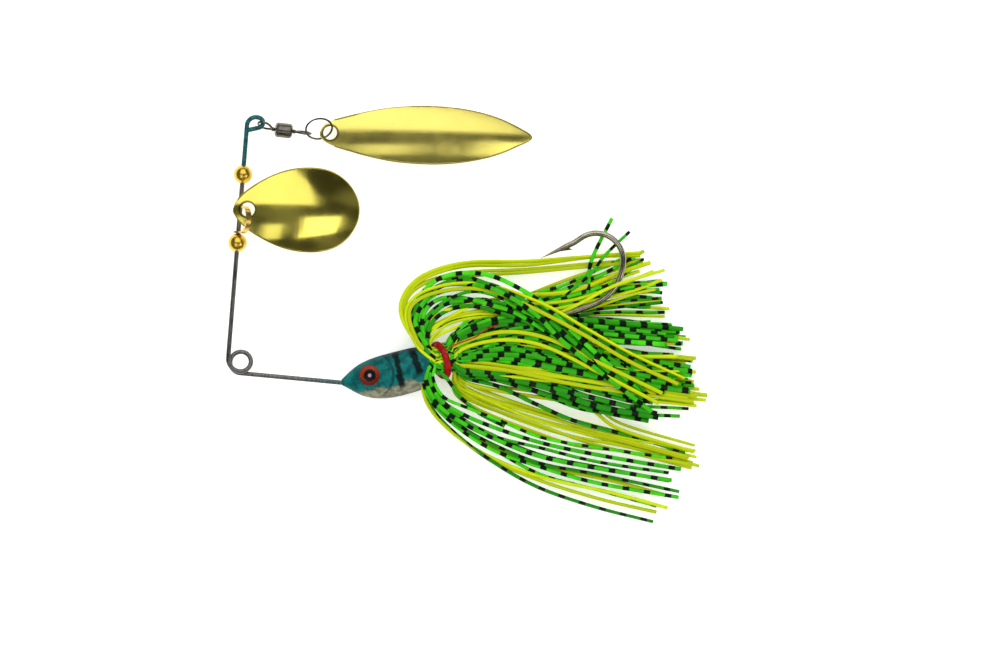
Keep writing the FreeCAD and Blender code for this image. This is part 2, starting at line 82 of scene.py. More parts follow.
# --- material helpers -------------------------------------------------------------------
class Paint:
    """A Principled material and short ways to add nodes to it."""

    def __init__(self, name, colour, metallic=0.0, rough=0.4, **sockets):
        self.mat = bpy.data.materials.new(name)
        self.mat.use_nodes = True
        self.tree = self.mat.node_tree
        self.bsdf = self.tree.nodes["Principled BSDF"]
        self.set("Base Color", (*colour, 1))
        self.set("Metallic", metallic)
        self.set("Roughness", rough)
        for key, value in sockets.items():
            self.set(key.replace("_", " "), value)
        self.coords = self.tree.nodes.new("ShaderNodeTexCoord")

    def set(self, socket, value):
        self.bsdf.inputs[socket].default_value = value

    def join(self, out, into):
        self.tree.links.new(out, into)

    def use(self, socket, out):
        self.join(out, self.bsdf.inputs[socket])

    @property
    def place(self):
        return self.coords.outputs["Object"]

    def feed(self, node, index, value):
        if hasattr(value, "is_output"):
            self.join(value, node.inputs[index])
        elif value is not None:
            node.inputs[index].default_value = value

    def math(self, kind, a, b=None):
        node = self.tree.nodes.new("ShaderNodeMath")
        node.operation = kind
        self.feed(node, 0, a)
        self.feed(node, 1, b)
        return node.outputs[0]

    def times(self, a, b):
        return self.math("MULTIPLY", a, b)

    def plus(self, a, b):
        return self.math("ADD", a, b)

    def minus(self, a, b):
        return self.math("SUBTRACT", a, b)

    def radius(self, u, v):
        return self.math("SQRT", self.plus(self.times(u, u), self.times(v, v)))

    def vector(self, kind, a, b=None):
        node = self.tree.nodes.new("ShaderNodeVectorMath")
        node.operation = kind
        self.feed(node, 0, a)
        self.feed(node, 1, b)
        return node.outputs["Value" if kind in ("DOT_PRODUCT", "DISTANCE") else "Vector"]

    def noise(self, size_mm, detail=3.0, rough=0.5, stretch=(1, 1, 1)):
        """Noise whose blobs are about size_mm across."""
        mapping = self.tree.nodes.new("ShaderNodeMapping")
        mapping.inputs["Scale"].default_value = [s / (size_mm * MM) for s in stretch]
        self.join(self.place, mapping.inputs["Vector"])
        node = self.tree.nodes.new("ShaderNodeTexNoise")
        node.inputs["Scale"].default_value = 1.0
        node.inputs["Detail"].default_value = detail
        node.inputs["Roughness"].default_value = rough
        self.join(mapping.outputs[0], node.inputs["Vector"])
        return node.outputs["Fac"]

    def spread(self, fac, low, high, to_low=0.0, to_high=1.0):
        """A smooth step of fac from low to high. Low may be the larger of the two."""
        node = self.tree.nodes.new("ShaderNodeMapRange")
        node.interpolation_type = "SMOOTHSTEP"
        ends = {"From Min": low, "From Max": high, "To Min": to_low, "To Max": to_high}
        for name, value in ends.items():
            node.inputs[name].default_value = value
        self.join(fac, node.inputs["Value"])
        return node.outputs["Result"]

    def mix(self, fac, a, b):
        node = self.tree.nodes.new("ShaderNodeMix")
        node.data_type = "RGBA"
        self.feed(node, 0, fac)
        for index, value in ((6, a), (7, b)):
            self.feed(node, index, value if hasattr(value, "is_output") else (*value, 1))
        return node.outputs[2]

    def bump(self, height, strength, depth_mm, rim_mm=0.0, lean=None):
        """Relief. rim_mm shades edges round, and lean then turns the normal about x, y and z."""
        node = self.tree.nodes.new("ShaderNodeBump")
        if rim_mm:
            rim = self.tree.nodes.new("ShaderNodeBevel")
            rim.samples = 6
            rim.inputs["Radius"].default_value = rim_mm * MM
            normal = rim.outputs[0]
            if lean:
                turn = self.tree.nodes.new("ShaderNodeVectorRotate")
                turn.rotation_type = "EULER_XYZ"
                turn.inputs["Rotation"].default_value = [math.radians(d) for d in lean]
                self.join(normal, turn.inputs["Vector"])
                normal = turn.outputs[0]
            self.join(normal, node.inputs["Normal"])
        node.inputs["Strength"].default_value = strength
        node.inputs["Distance"].default_value = depth_mm * MM
        self.join(height, node.inputs["Height"])
        self.use("Normal", node.outputs[0])

    def along(self, origin, axis):
        """Distance in mm from origin along an axis."""
        away = self.vector("SUBTRACT", self.place, tuple(origin))
        return self.times(self.vector("DOT_PRODUCT", away, tuple(axis)), 1 / MM)

    def away_from(self, point):
        """Distance in mm from a point."""
        return self.times(self.vector("DISTANCE", self.place, tuple(point)), 1 / MM)

    def rough_from(self, fac, low, high):
        self.use("Roughness", self.spread(fac, 0.3, 0.7, low, high))


def dress(node, paint):
    for slot in NODES[node].material_slots:
        slot.material = paint.mat
    if not NODES[node].material_slots:
        NODES[node].data.materials.append(paint.mat)


# --- metals -----------------------------------------------------------------------------
JOINT_AT = {joint["name"]: joint["pos_m"] for joint in frame["joints"] if "pos_m" in joint}
HOLE_SHADE_R = 2.05                # mm, radius of the dark ring round a blade's hole, painted shade for a bevelled edge round it
BLADE_RIM = 0.35             # mm, radius to which a blade's edges are shaded round
WILLOW_LEAN = (9.0, 9.0, 0.0)    # degrees, by which only the willow blade's shading leans


def gold(name, colour, low, high, grain_mm, grain, speck=0.0, rim_mm=0.0, hole=None, lean=None):
    """Plated gold of a roughness from low to high. A blade has a dark ring painted at its hole, painted
    shade for a bevelled edge.
    """
    paint = Paint(name, colour, 1.0, low)
    fine = paint.noise(grain_mm, 4.0, 0.65)
    cloud = paint.noise(5.0, 2.0)
    paint.rough_from(cloud, low, high)
    tone = paint.mix(paint.spread(cloud, 0.3, 0.7), tuple(c * 0.9 for c in colour), colour)
    if speck:
        dots = paint.spread(paint.noise(0.5, 1.0), 0.78, 0.82, 0.0, speck)
        tone = paint.mix(dots, tone, (0.95, 0.9, 0.6))
    # Painted shade: a dark ring round the hole, where a bevelled edge would reflect dark
    if hole is not None:
        painted_hole_shade = paint.times(paint.spread(paint.away_from(hole), HOLE_SHADE_R, HOLE_SHADE_R - 0.25), 0.85)
        tone = paint.mix(painted_hole_shade, tone, (0.16, 0.125, 0.02))
    paint.use("Base Color", tone)
    paint.bump(fine, grain, 0.02, rim_mm, lean)
    return paint


MIRROR_GOLD = gold("gold_mirror", (0.90, 0.78, 0.14), 0.11, 0.17, 0.30, 0.06, speck=0.8,
                   rim_mm=BLADE_RIM, hole=JOINT_AT["front_blade_swing"])
SATIN_GOLD = gold("gold_satin", (0.90, 0.78, 0.18), 0.17, 0.25, 0.16, 0.30,
                  rim_mm=BLADE_RIM, hole=JOINT_AT["willow_swing"], lean=WILLOW_LEAN)
BEAD_GOLD = gold("gold_bead", (0.86, 0.58, 0.08), 0.24, 0.32, 0.30, 0.10)
# Painted shade: the rolled edges get a darker gold than the blades, so they show as a dark outline
SHADED_RIM_GOLD = gold("gold_rim_painted_shade", (0.34, 0.27, 0.04), 0.26, 0.34, 0.25, 0.12)
STRIP_GOLD = gold("gold_strip", (0.80, 0.55, 0.14), 0.20, 0.30, 0.25, 0.15)

ARM_TEAL_FROM = middle_of("upper_bead").y / MM + 1.2    # mm, the wire is teal beyond the upper bead
LOWER_ARM = -5.0             # mm, below this y the wire is the lower arm


def wire_paint():
    """Bare steel, with teal paint at the top of the wire and thinner paint near the head."""
    paint = Paint("drawn_wire", (0.30, 0.29, 0.28), 1.0, 0.32)
    scratch = paint.noise(0.35, 5.0, 0.7, (1, 0.12, 1))
    steel = paint.mix(paint.spread(scratch, 0.3, 0.7), (0.10, 0.098, 0.095), (0.27, 0.26, 0.25))
    along_y = paint.along((0, 0, 0), (0, 1, 0))
    ragged = paint.plus(along_y, paint.times(paint.noise(1.2), 2.0))
    top = paint.spread(ragged, ARM_TEAL_FROM, ARM_TEAL_FROM + 1.4)
    head_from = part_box("head_casting")[0].x
    near_head = paint.plus(paint.along((head_from, 0, 0), (1, 0, 0)), paint.times(paint.noise(0.8), 6.0))
    lower = paint.spread(near_head, -8.0, 3.0, 0.0, 0.6)
    on_low = paint.spread(along_y, LOWER_ARM, LOWER_ARM - 7.0)
    teal = paint.math("MAXIMUM", top, paint.times(lower, on_low))
    patch = paint.spread(paint.noise(0.7), 0.35, 0.65)
    paint_tone = paint.mix(patch, (0.003, 0.055, 0.062), (0.012, 0.15, 0.15))
    paint.use("Base Color", paint.mix(teal, steel, paint_tone))
    paint.use("Metallic", paint.minus(1.0, paint.times(teal, 0.7)))
    paint.rough_from(scratch, 0.22, 0.42)
    paint.bump(scratch, 0.25, 0.03)
    return paint


def nickel(name, dark, light, low, high):
    """Plated nickel between two colours, of a roughness from low to high."""
    paint = Paint(name, light, 1.0, low)
    wear = paint.noise(0.8, 4.0, 0.6)
    paint.use("Base Color", paint.mix(paint.spread(wear, 0.3, 0.7), dark, light))
    paint.rough_from(paint.noise(1.6, 3.0), low, high)
    paint.bump(wear, 0.05, 0.02)
    return paint


WIRE = wire_paint()
HOOK = nickel("hook_nickel", (0.36, 0.325, 0.235), (0.52, 0.48, 0.38), 0.13, 0.19)
SWIVEL = nickel("black_nickel", (0.12, 0.11, 0.085), (0.22, 0.20, 0.165), 0.20, 0.32)
RING = nickel("ring_nickel", (0.14, 0.14, 0.12), (0.30, 0.30, 0.27), 0.14, 0.24)


# --- head -------------------------------------------------------------------------------
EYE = middle_of("eye_near")
HEAD_SLOPE = 12.0            # degrees from x, the head's length
HEAD_ALONG = level(HEAD_SLOPE)
HEAD_UP = level(HEAD_SLOPE + 90)
FIRST_BAR = 6.35             # mm behind the eye, along the head
SECOND_BAR = 10.4
BELLY_AT = -3.3              # mm above the eye where the belly's colour starts
LOWER_DARK_AT = BELLY_AT - 1.5     # mm above the eye where the dark lower edge starts
GILL_R = 5.1                 # mm from the eye to the edge of the gill cover
PUPIL_R = 1.36               # mm, the black pupil's radius
EYE_RIM_R = 2.08             # mm, where the eye's dark rim starts


def head_paint():
    """Teal above, pale below, with a gill's edge and two dark bars. u and v are mm from the eye."""
    paint = Paint("minnow_paint", (0.02, 0.2, 0.22), 0.0, 0.45, Coat_Weight=0.04, Coat_Roughness=0.30)
    paint.set("Specular IOR Level", 0.06)
    u = paint.along(EYE, HEAD_ALONG)
    v = paint.along(EYE, HEAD_UP)
    patch = paint.noise(1.5, 4.0, 0.6)
    flake = paint.noise(0.28, 2.0, 0.7)
    teal = paint.mix(paint.spread(patch, 0.35, 0.65), (0.001, 0.072, 0.072), (0.004, 0.160, 0.145))
    top = paint.spread(v, 1.8, 4.8)
    teal = paint.mix(top, teal, (0.001, 0.028, 0.040))
    teal = paint.mix(paint.spread(flake, 0.68, 0.78, 0.0, 0.5), teal, (0.25, 0.62, 0.62))
    mottle = paint.spread(paint.noise(1.1, 3.0), 0.35, 0.65)
    belly = paint.mix(mottle, (0.15, 0.15, 0.095), (0.30, 0.30, 0.20))
    edge = paint.plus(v, paint.times(paint.noise(2.4, 4.0, 0.65), 4.4))
    skin = paint.mix(paint.spread(edge, BELLY_AT + 1.6, BELLY_AT + 2.9), belly, teal)
    # Darker towards the head's lower edge
    lower_darkening = paint.spread(v, LOWER_DARK_AT, LOWER_DARK_AT - 1.1)
    skin = paint.mix(paint.times(lower_darkening, 0.6), skin, (0.03, 0.035, 0.028))
    gill = paint.spread(paint.math("ABSOLUTE", paint.minus(paint.radius(u, v), GILL_R)), 0.34, 0.10)
    gill = paint.times(gill, paint.spread(u, 1.2, 3.0))
    skin = paint.mix(paint.times(gill, 0.6), skin, (0.001, 0.020, 0.028))
    wobble = paint.times(paint.minus(paint.noise(1.0, 3.0), 0.5), 1.5)
    bent = paint.plus(u, wobble)
    for place, slope, foot, half in ((FIRST_BAR, 0.0, -4.0, 0.85), (SECOND_BAR, -0.16, -2.2, 1.05)):
        line = paint.plus(bent, paint.times(v, -slope))
        away = paint.math("ABSOLUTE", paint.minus(line, place))
        bar = paint.spread(away, half, half * 0.45)
        bar = paint.times(bar, paint.spread(v, foot - 0.6, foot + 0.8))
        skin = paint.mix(paint.times(bar, 0.95), skin, (0.002, 0.006, 0.008))
    paint.use("Base Color", skin)
    paint.rough_from(patch, 0.34, 0.48)
    relief = paint.minus(paint.noise(0.7, 4.0, 0.6), paint.times(gill, 1.2))
    paint.bump(relief, 0.30, 0.10)
    return paint


def eye_paint(node):
    """A black pupil with a painted pale glint in its middle, a red ring and a dark rim."""
    centre = middle_of(node)
    paint = Paint(f"{node}_enamel", (0.5, 0.06, 0.02), 0.0, 0.34, Coat_Weight=0.06, Coat_Roughness=0.2)
    paint.set("Specular IOR Level", 0.12)
    u = paint.along(centre, HEAD_ALONG)
    v = paint.along(centre, HEAD_UP)
    radius = paint.radius(u, v)
    ragged = paint.plus(radius, paint.times(paint.noise(0.6), 0.25))
    ring = paint.mix(paint.spread(v, -1.6, 1.9), (0.12, 0.005, 0.002), (0.27, 0.030, 0.007))
    ring = paint.mix(paint.spread(paint.noise(0.4, 3.0), 0.55, 0.75), ring, (0.36, 0.075, 0.02))
    tone = paint.mix(paint.spread(ragged, PUPIL_R, PUPIL_R + 0.14), (0.003, 0.005, 0.003), ring)
    # Painted highlight: a pale pink glint at the pupil's middle
    tone = paint.mix(paint.spread(radius, 0.50, 0.25), tone, (0.42, 0.26, 0.34))
    tone = paint.mix(paint.spread(radius, EYE_RIM_R, EYE_RIM_R + 0.12), tone, (0.10, 0.012, 0.01))
    paint.use("Base Color", tone)
    paint.bump(ragged, 0.15, 0.03)
    return paint


# --- silicone ---------------------------------------------------------------------------
BAR_PERIOD = 4.6             # mm from one dark bar on a strand to the next
BAR_LENGTH = 1.6


def strand_paint(name, deep, light, barred):
    """u of the UV map is the length along a strand in mm, and v is one number for each strand."""
    paint = Paint(name, light, 0.0, 0.42, Subsurface_Weight=0.2, Subsurface_Scale=0.0005)
    paint.set("Specular IOR Level", 0.16)
    paint.set("Subsurface Radius", (0.6, 1.0, 0.3))
    split = paint.tree.nodes.new("ShaderNodeSeparateXYZ")
    paint.join(paint.coords.outputs["UV"], split.inputs[0])
    length, own = split.outputs["X"], split.outputs["Y"]
    tone = paint.mix(own, deep, light)
    blotch = paint.noise(2.2, 3.0)
    tone = paint.mix(paint.spread(blotch, 0.3, 0.7, 0.0, 0.35), tone, deep)
    if barred:
        shaken = paint.plus(length, paint.times(paint.noise(0.35, 2.0), 0.5))
        part = paint.math("MODULO", shaken, BAR_PERIOD)
        start = paint.spread(part, 0.0, 0.12)
        end = paint.spread(part, BAR_LENGTH, BAR_LENGTH - 0.15)
        tone = paint.mix(paint.times(start, end), tone, (0.001, 0.007, 0.001))
    paint.use("Base Color", tone)
    paint.rough_from(blotch, 0.36, 0.5)
    paint.bump(paint.noise(0.25, 3.0, 0.6, (0.3, 1, 1)), 0.2, 0.02)
    return paint


YELLOW = strand_paint("silicone_yellow", (0.44, 0.53, 0.0), (0.66, 0.80, 0.0), False)
GREEN = strand_paint("silicone_green", (0.010, 0.23, 0.0), (0.080, 0.74, 0.008), True)


def red_paint(name, colour):
    paint = Paint(name, colour, 0.0, 0.4)
    paint.set("Specular IOR Level", 0.2)
    cloud = paint.noise(0.8, 3.0)
    dark = tuple(c * 0.5 for c in colour)
    paint.use("Base Color", paint.mix(paint.spread(cloud, 0.3, 0.7), dark, colour))
    paint.rough_from(cloud, 0.3, 0.5)
    paint.bump(paint.noise(0.3, 3.0), 0.3, 0.05)
    return paint


RED = red_paint("silicone_red", (0.46, 0.001, 0.004))
THREAD = red_paint("thread_red", (0.50, 0.02, 0.01))


# --- mesh helpers -----------------------------------------------------------------------
CURVE_STEPS = 16             # points for each stretch of a route, before they are spaced evenly
FEWEST_STEPS = 8             # even steps along a line, however short it is


def smooth_line(points, step_mm):
    """Points at even steps of a Catmull-Rom curve through a route."""
    p = [2 * points[0] - points[1], *points, 2 * points[-1] - points[-2]]
    dense = []
    for n in range(1, len(p) - 2):
        a, b, c, d = p[n - 1:n + 3]
        for k in range(CURVE_STEPS):
            t = k / CURVE_STEPS
            dense.append(0.5 * (2 * b + (c - a) * t + (2 * a - 5 * b + 4 * c - d) * t * t
                                + (3 * b - a - 3 * c + d) * t ** 3))
    dense.append(points[-1].copy())
    gone = [0.0]
    for a, b in zip(dense, dense[1:]):
        gone.append(gone[-1] + (b - a).length)
    count = max(FEWEST_STEPS, round(gone[-1] / step_mm))
    even, at = [], 0
    for n in range(count + 1):
        want = gone[-1] * n / count
        while at < len(gone) - 2 and gone[at + 1] < want:
            at += 1
        part = (want - gone[at]) / max(gone[at + 1] - gone[at], 1e-9)
        even.append(dense[at].lerp(dense[at + 1], part))
    return even


def strip_section(w, t, flat):
    """Eight corners of a strip: w and t are half its width and thickness, flat the flat share."""
    return [(-w, -t * .5), (-w * flat, -t), (w * flat, -t), (w, -t * .5),
            (w, t * .5), (w * flat, t), (-w * flat, t), (-w, t * .5)]


def side_faces(near, far, count):
    """Quads between two rings of points that start at these indices."""
    return [(near + k, near + (k + 1) % count, far + (k + 1) % count, far + k) for k in range(count)]


def end_faces(first, last, count):
    return [tuple(first + k for k in reversed(range(count))), tuple(last + k for k in range(count))]


class Sheaf:
    """Collects swept strips in one mesh, with lengths along them in its UV map."""

    def __init__(self, name):
        self.name, self.verts, self.faces, self.uvs = name, [], [], []

    def add(self, line, width, thick, twist_from=0.0, twist_by=0.0, phase=0.0, own=0.5):
        """A strip along a line in mm. phase is the length at its start, own its v in the UV map."""
        base = len(self.verts)
        section = strip_section(width / 2, thick / 2, 0.72)
        n_side = len(section)
        gone = phase
        marks = []
        for n, point in enumerate(line):
            ahead = (line[min(n + 1, len(line) - 1)] - line[max(n - 1, 0)]).normalized()
            side = Z_UP.cross(ahead)
            side = side.normalized() if side.length > 1e-4 else Vector((0, 1, 0))
            up = ahead.cross(side)
            turn = twist_from + twist_by * n / len(line)
            a = side * math.cos(turn) + up * math.sin(turn)
            b = up * math.cos(turn) - side * math.sin(turn)
            self.verts += [(point + (a * x + b * y)) * MM for x, y in section]
            if n:
                gone += (point - line[n - 1]).length
            marks.append(gone)
        for n in range(len(line) - 1):
            self.faces += side_faces(base + n * n_side, base + (n + 1) * n_side, n_side)
            self.uvs += ([(marks[n], own)] * 2 + [(marks[n + 1], own)] * 2) * n_side
        self.faces += end_faces(base, base + (len(line) - 1) * n_side, n_side)
        self.uvs += [(marks[0], own)] * n_side + [(marks[-1], own)] * n_side

    def finish(self, paint, slot, *nodes):
        mesh = bpy.data.meshes.new(self.name)
        mesh.from_pydata(self.verts, [], self.faces)
        uv = mesh.uv_layers.new(name="UVMap")
        uv.data.foreach_set("uv", [c for pair in self.uvs for c in pair])
        mesh.polygons.foreach_set("use_smooth", [True] * len(mesh.polygons))
        mesh.materials.append(paint.mat)
        piece = put(self.name, mesh)
        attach(piece, "lure")
        if nodes:
            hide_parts(*nodes)


# --- skirt ------------------------------------------------------------------------------
BAND = middle_of("skirt_band") / MM
COLLAR_SLOPE = 17.0          # degrees from x
COLLAR = level(COLLAR_SLOPE)
COLLAR_SIDE = level(COLLAR_SLOPE + 90)
GATHER_R = 2.85              # mm, radius of the ring of strands under the band
FLARE = 0.15                 # mm, by which the ring is wider where the strands come out
STRAND_W = 0.92              # mm, an ordinary strand's width
STRAND_T = 0.5               # mm, its thickness
RIBBONS = (0.72, 0.82, 0.9, 0.95, 1.0, 1.05)    # widths, as shares of the one that a sheaf asks for
LOWEST = STRAND_W * 0.4 + 0.05    # mm, least height of a route's points above the surface
UNDER_BAND = 0.5             # mm along the collar from the band's middle, where a route starts
OUT_OF_BAND = 1.5            # mm, where it comes out on the other side
OVERRUN = 0.4                # mm, most that a strand runs on past its route
DEPTH = 0.6                  # mm, most that a strand lies above or below its family's route
WANDER = 0.18                # mm, most that a strand strays sideways from its place,
WANDER_SHARE = 0.22          # and the share of the family's spread that comes on top
SPREAD_RATE = 1.6            # a family has its end spread after 1 / 1.6 of its route
STRAND_STEP = 0.7            # mm between the cross-sections of a strand
LEAN_BY = 0.5                # radians, most that a strand's start is turned about its length
TWIST_BY = 1.1               # radians, most that it turns from there to its end

# Each family is (points, half spread at the start, half spread at the end, first and last angle
# round the collar, leaves towards the head, how many strands, most that one ends short of the
# route). Points and lengths are in mm and angles in degrees. Points are from the middle of the
# band, in the order that the strands run.
FRONT_YELLOW = [
    ([(-5.0, 3.8, 2.0), (-8.6, 9.4, 1.2), (-7.8, 13.9, 0.2), (-3.4, 17.4, -0.8), (5.0, 19.4, -1.7),
      (18.0, 20.2, -2.2), (32.5, 21.4, -2.5), (45.0, 22.2, -2.7)],
     0.4, 1.1, 20, 60, True, 4, 3.0),
    ([(-5.2, 3.2, 2.4), (-7.6, 9.6, 1.9), (-5.0, 13.6, 0.9), (2.6, 15.8, 0.9), (11.2, 15.2, 3.4),
      (21.8, 11.1, 4.6), (30.6, 5.8, 4.2), (40.4, 0.2, 2.6), (52.5, -5.2, 0.8)],
     0.3, 0.9, 40, 90, True, 2, 3.5),
    ([(-3.8, 4.4, 1.6), (0.4, 8.4, 1.4), (7.8, 10.8, 1.5), (16.4, 10.6, 0.6), (28.0, 12.4, -1.6),
      (40.0, 16.2, -2.0), (48.5, 18.6, -2.2)],
     0.9, 2.8, 30, 80, True, 4, 4.0),
    ([(-3.4, 3.9, 1.2), (-0.6, 6.8, 1.6), (5.0, 8.9, 1.8), (14.0, 9.6, 1.4), (24.0, 5.4, 0.8),
      (36.0, 0.6, 0.4), (52.0, -1.4, 0.0)],
     0.7, 1.6, 40, 80, True, 2, 4.0),
]
FRONT_GREEN = [
    ([(-4.6, 3.6, 2.4), (-6.6, 8.0, 2.0), (-4.8, 13.0, 0.8), (-0.8, 16.3, -0.2), (4.8, 17.4, 0.8),
      (11.2, 15.9, 4.2), (19.8, 11.2, 4.4), (26.4, 5.0, 4.0), (35.0, -2.6, 2.8),
      (46.5, -10.8, 0.8)],
     0.5, 1.3, 50, 110, True, 3, 3.5),
    ([(-4.4, 3.8, 2.2), (-5.2, 9.6, 1.7), (-2.0, 13.6, 0.4), (3.6, 15.0, 0.9), (10.4, 13.9, 3.4),
      (16.6, 11.0, 3.4), (26.2, 5.6, 3.0), (37.0, -0.6, 2.0), (49.5, -6.4, 0.8)],
     0.4, 2.0, 50, 110, True, 3, 4.0),
    ([(-4.2, 3.6, 2.0), (-3.4, 8.2, 1.8), (0.4, 11.6, 1.2), (6.2, 12.8, 1.9), (13.0, 11.6, 2.8),
      (22.0, 7.8, 2.6), (31.4, 2.8, 2.2), (42.0, -3.6, 1.2), (47.0, -8.6, 0.4)],
     0.5, 2.0, 50, 110, True, 3, 4.0),
    ([(-4.0, 3.4, 2.0), (-3.0, 6.6, 1.9), (1.0, 9.6, 1.5), (7.2, 11.0, 2.0), (14.2, 9.4, 2.4),
      (24.0, 6.8, 1.8), (37.0, 4.2, 1.0), (52.0, 3.0, 0.4)],
     0.5, 2.2, 50, 110, True, 2, 4.0),
]
UPPER_LOW = [
    ([(6.0, 6.0, -1.0), (15.0, 10.4, -1.6), (26.0, 15.2, -2.2), (36.0, 18.6, -2.5),
      (44.5, 22.0, -2.6)],
     1.4, 2.0, 10, -50, False, 4, 4.0),
    ([(7.0, 4.6, -1.6), (18.0, 9.8, -2.0), (31.0, 13.0, -2.4), (48.0, 14.4, -2.6)],
     1.4, 2.0, 10, -50, False, 4, 3.0),
    ([(8.0, 3.6, -1.7), (20.0, 8.0, -2.0), (33.0, 9.8, -2.4), (48.5, 9.6, -2.6)],
     1.4, 1.8, 10, -60, False, 3, 4.0),
]
UPPER_GREEN = [
    ([(3.0, 5.2, 2.2), (7.2, 8.2, 1.8), (17.0, 12.0, 0.4), (26.0, 14.6, -1.4), (35.0, 18.0, -2.2),
      (43.0, 22.6, -2.4)],
     1.0, 1.6, 20, 80, False, 4, 4.0),
    ([(2.6, 4.2, 2.0), (8.2, 6.6, 1.8), (18.0, 9.8, 0.0), (29.0, 12.0, -1.8), (40.0, 14.8, -2.2),
      (48.0, 15.2, -2.4)],
     1.0, 1.6, 20, 80, False, 4, 4.0),
]
MIDDLE_LOW = [
    ([(8.0, 2.6, -1.8), (20.0, 5.4, -2.0), (34.0, 6.4, -2.4), (52.0, 5.0, -2.6)],
     1.6, 2.4, 0, -80, False, 10, 4.0),
    ([(8.0, 0.8, -1.8), (20.0, 1.0, -2.0), (36.0, -1.0, -2.4), (54.0, -2.8, -2.6)],
     1.6, 3.0, -40, -140, False, 10, 3.5),
    ([(8.0, -1.6, -1.8), (22.0, -3.4, -2.0), (38.0, -6.2, -2.4), (56.5, -8.2, -2.6)],
     1.2, 1.4, -90, -160, False, 7, 2.5),
]
MIDDLE_HIGH = [
    ([(5.0, 3.8, 3.0), (13.0, 6.4, 2.8), (24.0, 7.2, 2.0), (36.0, 6.2, 1.2), (51.0, 4.6, 0.4)],
     2.2, 2.2, 40, 100, False, 10, 4.0),
    ([(5.0, 1.6, 3.2), (14.0, 2.2, 3.0), (24.0, 0.4, 2.4), (38.0, -2.6, 1.4), (53.0, -4.6, 0.4)],
     1.9, 3.0, 60, 130, False, 11, 4.0),
    ([(5.0, -1.6, 2.8), (12.0, -2.8, 2.6), (22.0, -5.4, 2.2), (33.0, -8.6, 1.6),
      (47.0, -11.4, 0.6)],
     1.5, 2.0, 90, 150, False, 6, 4.0),
]
MIDDLE_YELLOW = [
    ([(5.0, 3.2, 3.4), (13.0, 5.0, 3.6), (22.0, 3.6, 3.4), (34.0, -2.2, 2.6), (49.0, -9.8, 0.8)],
     0.8, 1.2, 60, 100, False, 2, 4.0),
    ([(5.0, -1.2, 3.0), (14.0, -2.2, 3.0), (28.0, -4.4, 2.2), (42.0, -7.0, 1.0), (55.5, -8.6, 0.2)],
     1.0, 1.2, 80, 150, False, 5, 3.0),
    ([(5.0, 4.4, 3.0), (14.0, 6.0, 2.6), (28.0, 4.4, 1.8), (40.0, 2.2, 1.0), (53.5, 1.6, 0.2)],
     1.4, 3.4, 60, 100, False, 4, 4.0),
]
LOWER_GREEN = [
    ([(-2.4, -1.4, 2.8), (-3.0, -4.4, 2.8), (-0.6, -8.8, 2.6), (4.2, -12.2, 2.2),
      (11.4, -15.6, 1.6), (21.0, -18.8, 0.6), (33.0, -21.2, -0.6), (51.0, -24.4, -2.2)],
     0.5, 2.2, 90, 150, True, 4, 3.0),
    ([(-2.6, -1.6, 2.2), (-3.2, -4.8, 2.2), (-1.2, -9.6, 1.8), (4.0, -14.2, 1.2),
      (11.4, -18.6, 0.4), (21.0, -22.0, -0.8), (33.0, -25.0, -1.8), (51.0, -28.0, -2.6)],
     0.5, 1.5, 110, 160, True, 3, 3.0),
    ([(-2.6, -1.6, 1.6), (-3.4, -5.2, 1.6), (-1.6, -10.4, 1.0), (3.4, -15.8, 0.2),
      (11.2, -21.0, -0.8), (21.0, -25.8, -1.8), (33.0, -30.0, -2.6), (46.0, -33.4, -3.1)],
     0.3, 1.4, 120, 180, True, 2, 2.0),
    ([(1.0, -4.6, 1.6), (4.0, -8.4, 1.6), (8.0, -11.4, 1.2), (14.0, -14.6, 0.8)],
     0.3, 0.5, 120, 150, True, 1, 1.0),
    ([(4.5, -4.0, 1.6), (12.0, -5.6, 1.6), (20.0, -9.4, 1.0), (29.0, -13.2, 0.0),
      (42.0, -17.0, -1.4), (53.0, -20.6, -2.4)],
     0.3, 0.6, 120, 180, False, 1, 2.0),
    ([(7.0, -3.2, 2.2), (15.0, -4.6, 2.2), (24.0, -7.6, 1.8), (33.0, -10.6, 0.8),
      (54.0, -11.8, -1.0)],
     0.6, 0.9, 100, 160, False, 2, 4.0),
]
LOWER_YELLOW = [
    ([(3.0, -5.6, -0.6), (8.4, -8.6, -1.2), (20.0, -12.2, -1.8), (34.6, -16.6, -2.2),
      (54.5, -21.4, -2.6)],
     1.4, 1.8, 170, 215, False, 6, 2.5),
    ([(3.0, -6.4, 0.0), (8.4, -9.6, -0.6), (18.0, -14.0, -1.2), (28.0, -16.8, -1.8),
      (40.0, -19.2, -2.2), (55.0, -22.6, -2.6)],
     1.0, 1.2, 160, 200, False, 3, 2.5),
    ([(5.0, -4.6, 0.4), (14.0, -6.4, 0.0), (30.0, -9.6, -0.6), (38.0, -14.4, -1.4),
      (54.0, -19.4, -2.2)],
     0.4, 0.6, 160, 200, False, 2, 2.0),
    ([(-2.8, -1.2, 2.0), (-3.9, -4.6, 1.8), (-2.3, -10.0, 1.2), (3.0, -15.4, 0.4),
      (11.0, -20.2, -0.6), (22.0, -24.0, -1.6), (36.0, -27.6, -2.4), (50.0, -31.0, -3.1)],
     0.3, 1.2, 130, 190, True, 2, 3.0),
    ([(-2.8, -1.2, 2.4), (-4.1, -4.6, 2.2), (-2.9, -10.0, 1.6), (2.4, -16.0, 0.8),
      (10.4, -21.4, -0.4), (21.0, -26.4, -1.4), (34.0, -30.4, -2.4), (46.5, -33.2, -3.1)],
     0.2, 0.6, 130, 190, True, 1, 3.0),
]
OVER_BEND = [
    ([(16.0, 7.4, 1.6), (26.4, 10.6, 1.8), (36.9, 16.0, 1.7), (47.4, 19.2, 0.6)],
     0.1, 0.1, 50, 60, False, 1, 0.5),
]
